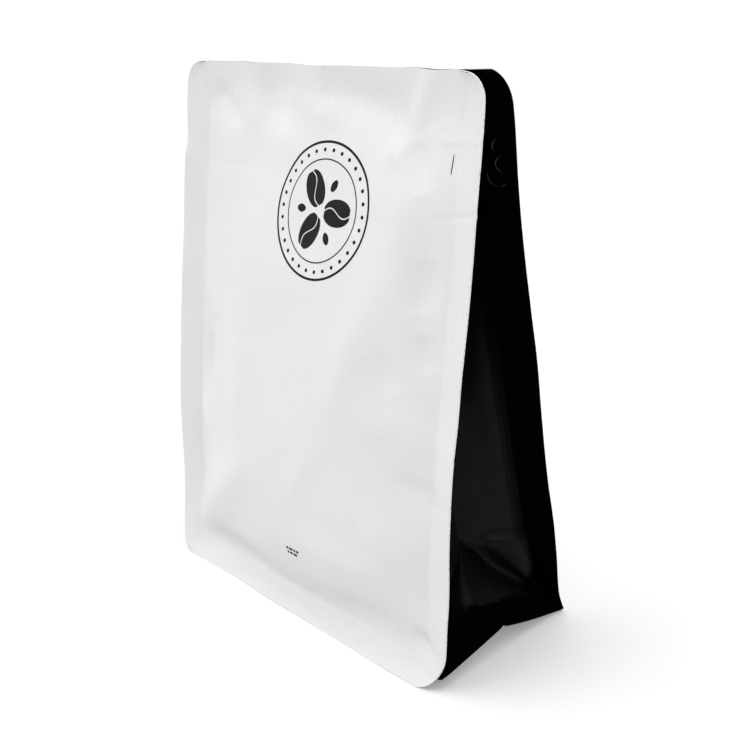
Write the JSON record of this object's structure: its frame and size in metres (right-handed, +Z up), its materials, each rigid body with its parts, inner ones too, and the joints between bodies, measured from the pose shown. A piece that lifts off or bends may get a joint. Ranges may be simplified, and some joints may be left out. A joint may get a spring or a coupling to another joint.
{
  "type": "coffee bag",
  "caption": "Filled flat-bottomed side-gusset pouch with white front and back panels, black tucked gussets, sealed fins and a flat sealed header; one closed solid, standing upright.",
  "frame": {"origin": "on the floor, under the middle of the bag's bounding box", "axes": "+Z up along the bag's height, its longest extent; +X to the right across the panels seen from the front; the front panel faces -Y and +Y is the bag's depth, its shortest extent"},
  "size_m": [0.14, 0.0656, 0.1846],
  "materials": {
    "white_film": "satin white laminated packaging film",
    "black_film": "soft matt black laminated packaging film"
  },
  "bodies": {
    "root": {"pouch_body": "black_film", "front_panel": "white_film", "back_panel": "white_film"}
  },
  "joints": []
}
